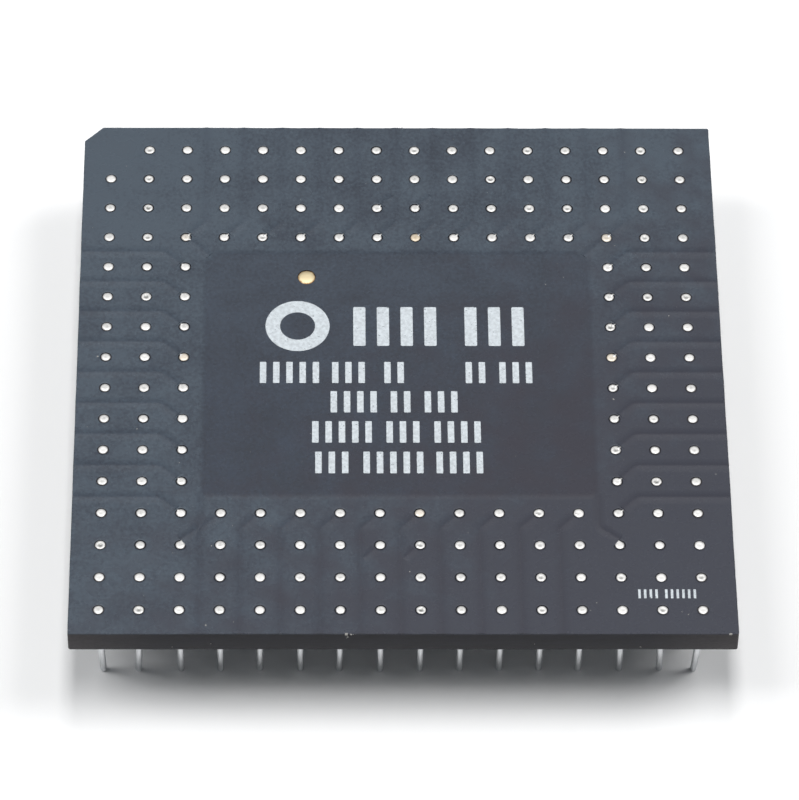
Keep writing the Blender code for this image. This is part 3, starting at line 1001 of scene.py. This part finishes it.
def build_tails():
    """Bare stubs of the traces that the mask's openings leave open beside the innermost dots."""
    s = sizes()
    left, back = inner_ring()
    front = s.grid_side - back
    stubs = [(column, row, *stub) for column, row, *_, stub in ring_ties()]
    stubs.append((left, back, 0.8, -0.6, 0.95, s.tail_width))
    stubs.append((left, front, 0.2, 0.98, 0.85, s.tail_width))
    stubs.append((s.grid_side - 1 - left, front, -0.2, 0.98, 0.85, s.tail_width))
    kinds = sorted({stub[4:] for stub in stubs})
    set_out("bare_trace_stubs", [stub_shape(s.tail_reach * share, width) for share, width in kinds],
            [stub[:2] for stub in stubs], TOP_Z, bpy.data.materials["tin_lead_solder"],
            shape=[kinds.index(stub[4:]) for stub in stubs],
            lean=[Vector((0, 0, math.atan2(stub[3], stub[2]))) for stub in stubs])


# how far the tips of the front pins stand off, in millimetres along X and Y
PIN_LEANS = {
    (0, 15): (0.16, 0.0), (1, 15): (-0.14, 0.0), (2, 15): (0.03, 0.0), (14, 15): (0.08, 0.05),
    (15, 15): (-0.27, 0.02), (13, 15): (0.05, 0.0), (12, 15): (-0.05, 0.0),
}


def build_pins():
    """The pins, their tips rounded, most of them straight, a few of the front ones bent in handling."""
    s = sizes()
    steps = 4
    tip = -UNDERSIDE_Z
    inside_board = 0.3 * MM
    usual_lean = 0.03
    profile = []
    for step in range(steps, -1, -1):
        angle = math.pi / 2 * step / steps
        radius = s.pin_radius - s.tip_round * (1 - math.cos(angle))
        profile.append((radius, tip + s.tip_round * (1 - math.sin(angle))))
    profile += [(s.pin_radius, tip + s.tip_round + 0.02 * MM), (s.pin_radius, inside_board)]
    draw = random.Random(11)
    leans = []
    for cell in pin_cells():
        shift = PIN_LEANS.get(cell) or (draw.gauss(0, usual_lean), draw.gauss(0, usual_lean))
        x, y = [math.atan2(reach * MM, UNDERSIDE_Z) for reach in shift]
        leans.append(Vector((y, -x, 0)))
    set_out("pins", [turned("pin", profile, 14)], pin_cells(), UNDERSIDE_Z, tin_plate(), lean=leans)


def build_fillets():
    """Solder pads and fillets round the pins on the underside."""
    s = sizes()
    steps = 5
    pad = 0.02 * MM
    foot = s.pad_radius * 0.92 - s.pin_radius
    profile = []
    for step in range(steps, -1, -1):
        share = step / steps
        radius = s.pin_radius + foot * (1 - share) ** 2.2
        profile.append((radius, -pad - (s.fillet_rise - pad) * share))
    profile += [(s.pad_radius, -pad), (s.pad_radius, pad)]
    cells = pin_cells()
    set_out("pin_fillets", [turned("fillet", profile, 16)], cells, UNDERSIDE_Z,
            bpy.data.materials["tin_lead_solder"], turn=2 * math.pi, size_spread=0.04, seed=5,
            dull=[0.25] * len(cells), gold=[0.0] * len(cells))


# Index mark, print and wear

def build_index_mark():
    """The gold-plated index mark with its low dome and the stub of its plating trace."""
    s = sizes()
    low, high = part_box("index_mark")
    centre = (low + high) / 2
    centre.z = TOP_Z
    steps = 7
    hub = 0.04
    trace_angle = 0.85
    trace_width = 0.17
    trace_reach = 0.13
    profile = [(s.mark_radius * 0.98, low.z - TOP_Z)]
    for step in range(steps + 1):
        share = 1 - step / steps
        profile.append((s.mark_radius * max(share, hub), s.mark_rise * (1 - share ** 3)))

    def wobble(angle):
        aside = math.atan2(math.sin(angle - trace_angle), math.cos(angle - trace_angle))
        return uneven(angle, 0.015, 2.1, 2) + trace_reach * math.exp(-((aside / trace_width) ** 2))
    mesh = turned("gold_index_mark", profile, 48, centre, wobble)
    mark = new_object("gold_index_mark", mesh, gold_plate(centre, s.mark_radius))
    shade_smooth(mark)
    seat(mark, "gold", "index_mark")


PRINT_ROWS = (
    # centre height, bar height, bar width, step, left end of each group and its count of bars
    (3.82, 3.26, 0.80, 1.55, ((-2.9, 4), (4.4, 3))),
    (-0.03, 1.75, 0.42, 0.86, ((-9.0, 5), (-4.3, 3), (-0.9, 2), (4.4, 2), (6.6, 3))),
    (-2.45, 1.75, 0.42, 0.86, ((-4.4, 4), (-0.5, 2), (1.7, 3))),
    (-4.92, 1.75, 0.42, 0.86, ((-5.6, 5), (-0.8, 3), (2.3, 4))),
    (-7.40, 1.75, 0.42, 0.86, ((-5.4, 3), (-2.3, 5), (2.4, 4))),
    (-17.80, 0.70, 0.16, 0.36, ((15.0, 4), (16.7, 6))),
)


def build_print():
    """White ink in the marking's field: a plain ring and rows of plain bars, no lettering."""
    s = sizes()
    buried = 0.01 * MM
    work = bmesh.new()
    for y, height, width, step, groups in PRINT_ROWS:
        for start, count in groups:
            for i in range(count):
                x = start + i * step + width / 2
                base = top_at(x * MM, y * MM)
                corners = rectangle(width * MM / 2, height * MM / 2, (x * MM, y * MM))
                outline = rounded_outline(corners, 0.12 * width * MM, 3)
                skin(work, [(outline, base - buried), (outline, base + s.ink_rise)], capped=True)
    middle = (-6.55 * MM, 3.85 * MM)
    bottom = top_at(*middle) - buried
    top = top_at(*middle) + s.ink_rise
    outer = circle(middle, s.ring_radius, 64)
    inner = circle(middle, s.ring_hole, 64)
    rings = skin(work, [(outer, bottom), (outer, top), (inner, top), (inner, bottom)])
    strip(work, rings[-1], rings[0])
    bmesh.ops.recalc_face_normals(work, faces=work.faces)
    add_piece("printed_marks", work, [marking_ink()], "laminate")


# dust on the top face: place and size in millimetres
SPECKS = (
    (15.43, 18.90, 0.20), (10.02, -15.45, 0.11), (12.34, -18.50, 0.12), (11.95, -19.10, 0.08),
    (0.58, -16.07, 0.09), (13.97, -2.20, 0.12), (-12.28, -20.25, 0.12), (-10.54, -20.0, 0.08),
    (-12.0, -14.05, 0.08), (-16.9, -4.66, 0.10), (-19.58, 1.32, 0.12), (17.85, 4.78, 0.16),
    (18.24, 2.35, 0.12), (20.34, -8.3, 0.10), (18.1, -19.4, 0.10), (17.7, -19.2, 0.07),
    (9.8, 7.4, 0.10), (11.0, 8.0, 0.07),
)

# pale chips in the front and back rims, and specks in the front face, in millimetres:
# place along X, place past the sawn edge along Y, depth under the top face, size, and height as a share
FRONT_CHIPS = (
    (-3.44, 0.03, 0.07, 0.13, 0.9), (-3.36, 0.03, 0.27, 0.10, 1.3), (-3.43, 0.03, 0.42, 0.05, 1.5),
    (-3.18, 0.03, 0.05, 0.10, 0.5), (-3.02, 0.03, 0.05, 0.08, 0.4), (-2.88, 0.03, 0.04, 0.04, 0.5),
    (20.72, 0.02, 0.02, 0.10, 0.5),
)
BACK_CHIPS = (
    (0.15, -0.01, 0.03, 0.07, 0.7), (0.33, -0.01, 0.03, 0.07, 0.7), (0.45, -0.01, 0.03, 0.07, 0.7),
)
FACE_SPECKS = (
    (-11.95, -0.002, 1.02, 0.05, 0.8), (-14.4, -0.002, 1.38, 0.05, 0.8), (8.4, -0.002, 1.06, 0.05, 0.8),
    (15.1, -0.002, 1.38, 0.05, 0.8),
)


def flake(work, centre, reach, draw, flat):
    """Adds a small uneven flake."""
    made = bmesh.ops.create_icosphere(work, subdivisions=1, radius=reach)
    stretch = Matrix.Diagonal((draw.uniform(0.7, 1.5), draw.uniform(0.5, 1.0), flat, 1))
    turn = Matrix.Rotation(draw.uniform(0, math.tau), 4, "Z")
    for vert in made["verts"]:
        vert.co *= draw.uniform(0.75, 1.2)
    bmesh.ops.transform(work, matrix=Matrix.Translation(centre) @ turn @ stretch, verts=made["verts"])


def build_wear():
    """Dust on the top face and the pale chips in its rims."""
    s = sizes()
    c = colours()
    draw = random.Random(23)
    fine_specks = 60
    kept_inside = 0.97
    work = bmesh.new()
    for x, y, reach in SPECKS:
        flake(work, (x * MM, y * MM, top_at(x * MM, y * MM) + 0.004 * MM), reach * 0.5 * MM, draw, 0.22)
    for _ in range(fine_specks):
        x = draw.uniform(s.left, s.right) * kept_inside
        y = draw.uniform(s.front, s.back) * kept_inside
        flake(work, (x, y, top_at(x, y) + 0.002 * MM), draw.uniform(0.012, 0.03) * MM, draw, 0.3)
    for edge, chips in ((s.front, FRONT_CHIPS), (s.back, BACK_CHIPS), (s.front, FACE_SPECKS)):
        for x, past, depth, reach, flat in chips:
            flake(work, (x * MM, edge + past * MM, TOP_Z - depth * MM), reach * MM, draw, flat)
    bmesh.ops.recalc_face_normals(work, faces=work.faces)
    pale = plain_finish("chipped_glass_fibre", lighter(c.chip_fibre, 0.7), c.chip_fibre, 0.05 * MM, 0.75)
    add_piece("dust_and_edge_chips", work, [pale], "laminate")


def dress_inner_nodes():
    """Finishes for the lid, its seal and the die parts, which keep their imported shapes."""
    c = colours()
    die_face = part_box("wire_bonded_die")[1].z - DIE_THICKNESS
    for name, finish in (
        ("lid", plain_finish("black_anodised_aluminium", c.lid, lighter(c.lid, 1.35), 0.09 * MM, 0.42, 0.35)),
        ("lid_seal", plain_finish("black_epoxy_seal", c.epoxy, lighter(c.epoxy, 1.6), 0.3 * MM, 0.35)),
        ("wire_bonded_die", silicon_and_gold(die_face)),
        ("die_attach", plain_finish(
            "silver_filled_epoxy", c.silver_epoxy, lighter(c.silver_epoxy, 1.2), 0.05 * MM, 0.5, 0.4)),
    ):
        for material_slot in frame["nodes"][name].material_slots:
            material_slot.material = finish


# Stage

CAMERA_TARGET = Vector((0.072, -2.271, 0.0)) * MM
CAMERA_DISTANCE = 352.40 * MM
CAMERA_ELEVATION = 51.962
CAMERA_HEADING = 1.611
CAMERA_ROLL = 1.322
CAMERA_LENS = 244.43


def build_camera():
    """The photograph's view, worked out from the pins' known pitch."""
    turn = Matrix.Identity(4)
    for degrees, axis in ((-CAMERA_HEADING, "Z"), (90 - CAMERA_ELEVATION, "X"), (CAMERA_ROLL, "Z")):
        turn @= Matrix.Rotation(math.radians(degrees), 4, axis)
    place = CAMERA_TARGET + Vector((0, 0, TOP_Z)) + turn @ Vector((0, 0, CAMERA_DISTANCE))
    data = bpy.data.cameras.new("camera")
    data.lens = CAMERA_LENS
    data.sensor_width = 36
    data.clip_start = 0.01
    data.clip_end = 20
    camera = new_object("camera", data)
    camera.matrix_world = Matrix.Translation(place) @ turn
    bpy.context.scene.camera = camera


def build_floor():
    """A plain pale floor, white to the camera and a little greyer to the light that it throws back."""
    c = colours()
    work = bmesh.new()
    bmesh.ops.create_grid(work, x_segments=1, y_segments=1, size=2.5)
    material, tree = new_material("pale_floor", c.floor)
    path = add(tree, "ShaderNodeLightPath").outputs
    seen = add(tree, MATH, [path["Is Camera Ray"], path["Is Glossy Ray"]], operation="MAXIMUM")
    tone = add(tree, MIX, {0: seen, 6: lighter(c.floor, 0.80), 7: c.floor}, data_type="RGBA")
    add(tree, "ShaderNodeOutputMaterial", {"Surface": add(tree, "ShaderNodeBsdfDiffuse", {"Color": tone})})
    new_object("floor", mesh_of(work, "floor"), material)


def build_light():
    """Soft light from straight above and from both sides, in a white surround."""
    for name, place, size, power in (
        ("overhead_softbox", (0, 0.059, 0.594), (0.111, 0.547), 1.86),
        ("left_softbox", (-0.50, 0.048, 0.60), (0.35, 0.593), 2.80),
        ("right_softbox", (0.50, 0.162, 0.602), (0.35, 0.454), 2.87),
    ):
        data = bpy.data.lights.new(name, "AREA")
        data.shape = "RECTANGLE"
        data.size, data.size_y = size
        data.energy = power
        lamp = new_object(name, data)
        lamp.location = place
        lamp.rotation_euler = (-Vector(place)).to_track_quat("-Z", "Y").to_euler()
        # mirror-like faces see the even surround alone, as through a tent's cloth
        lamp.visible_glossy = False
    scene = bpy.context.scene
    scene.world = bpy.data.worlds.new("white_surround")
    scene.world.use_nodes = True
    tree = scene.world.node_tree
    tree.nodes.clear()
    path = add(tree, "ShaderNodeLightPath").outputs
    mirrored_or_seen = add(tree, MATH, [path["Is Camera Ray"], path["Is Glossy Ray"]], operation="MAXIMUM")
    shown = add(tree, MATH, [mirrored_or_seen, path["Is Transmission Ray"]], operation="MAXIMUM")
    towards = add(tree, "ShaderNodeTexCoord").outputs["Generated"]
    z = add(tree, "ShaderNodeSeparateXYZ", [towards]).outputs["Z"]
    # the tent's cloth glows more near the floor, which throws light back at it
    ambient = add(tree, RANGE, [z, 0.0, 0.8, 0.275, 0.10])
    mirrored = add(tree, MATH, [
        add(tree, RANGE, [z, 0.54, 0.80, 0.40, 1.00]), add(tree, RANGE, [z, 0.80, 1.0, 0.0, 0.85]),
    ])
    seen = add(tree, MIX, {0: path["Is Glossy Ray"], 2: 1.0, 3: mirrored})
    # what fills the shadows is a little cooler than the lamps
    tint = add(tree, MIX, {0: shown, 6: linear("f4faff"), 7: (1, 1, 1)}, data_type="RGBA")
    background = add(tree, "ShaderNodeBackground", {
        "Color": tint, "Strength": add(tree, MIX, {0: shown, 2: ambient, 3: seen}),
    })
    add(tree, "ShaderNodeOutputWorld", {"Surface": background})
    scene.view_settings.view_transform = "Standard"


# Operators

class CHIP_OT_board(bpy.types.Operator):
    """Build the laminate board, its copper field and its traces"""

    bl_idname = "chip.board"
    bl_label = "Board"

    def execute(self, context):
        build_board()
        build_copper_field()
        build_traces()
        return {"FINISHED"}


class CHIP_OT_dots(bpy.types.Operator):
    """Build the solder dots and the bare trace stubs on the top face"""

    bl_idname = "chip.dots"
    bl_label = "Solder dots"

    def execute(self, context):
        build_dots()
        build_tails()
        return {"FINISHED"}


class CHIP_OT_pins(bpy.types.Operator):
    """Build the pins and their solder fillets"""

    bl_idname = "chip.pins"
    bl_label = "Pins"

    def execute(self, context):
        build_pins()
        build_fillets()
        return {"FINISHED"}


class CHIP_OT_index_mark(bpy.types.Operator):
    """Build the gold index mark"""

    bl_idname = "chip.index_mark"
    bl_label = "Index mark"

    def execute(self, context):
        build_index_mark()
        return {"FINISHED"}


class CHIP_OT_marks(bpy.types.Operator):
    """Build the plain printed marks"""

    bl_idname = "chip.marks"
    bl_label = "Printed marks"

    def execute(self, context):
        build_print()
        return {"FINISHED"}


class CHIP_OT_wear(bpy.types.Operator):
    """Build the dust and the chipped rims"""

    bl_idname = "chip.wear"
    bl_label = "Dust and chips"

    def execute(self, context):
        build_wear()
        return {"FINISHED"}


class CHIP_OT_inner(bpy.types.Operator):
    """Dress the lid, its seal and the die parts"""

    bl_idname = "chip.inner"
    bl_label = "Lid and die finishes"

    def execute(self, context):
        dress_inner_nodes()
        return {"FINISHED"}


class CHIP_OT_stage(bpy.types.Operator):
    """Build the floor, the light and the camera"""

    bl_idname = "chip.stage"
    bl_label = "Stage"

    def execute(self, context):
        build_floor()
        build_light()
        build_camera()
        return {"FINISHED"}


STEPS = (
    CHIP_OT_board, CHIP_OT_dots, CHIP_OT_pins, CHIP_OT_index_mark,
    CHIP_OT_marks, CHIP_OT_wear, CHIP_OT_inner, CHIP_OT_stage,
)


class CHIP_PT_panel(bpy.types.Panel):
    """Lists the chip's pieces"""

    bl_idname = "CHIP_PT_panel"
    bl_label = "Pin grid array chip"
    bl_space_type = "VIEW_3D"
    bl_region_type = "UI"
    bl_category = "Chip"

    def draw(self, context):
        for step in STEPS:
            self.layout.operator(step.bl_idname)
        for group in (context.scene.chip_sizes, context.scene.chip_colours):
            column = self.layout.column()
            for key in group.bl_rna.properties.keys():
                if key not in ("rna_type", "name"):
                    column.prop(group, key)


CLASSES = (ChipSizes, ChipColours, *STEPS, CHIP_PT_panel)


def register():
    for item in CLASSES:
        bpy.utils.register_class(item)
    bpy.types.Scene.chip_sizes = PointerProperty(type=ChipSizes)
    bpy.types.Scene.chip_colours = PointerProperty(type=ChipColours)


def unregister():
    del bpy.types.Scene.chip_colours
    del bpy.types.Scene.chip_sizes
    for item in reversed(CLASSES):
        bpy.utils.unregister_class(item)


def main():
    register()
    bpy.ops.chip.board()
    bpy.ops.chip.dots()
    bpy.ops.chip.pins()
    bpy.ops.chip.index_mark()
    bpy.ops.chip.marks()
    bpy.ops.chip.wear()
    bpy.ops.chip.inner()
    bpy.ops.chip.stage()


if __name__ == "__main__":
    main()
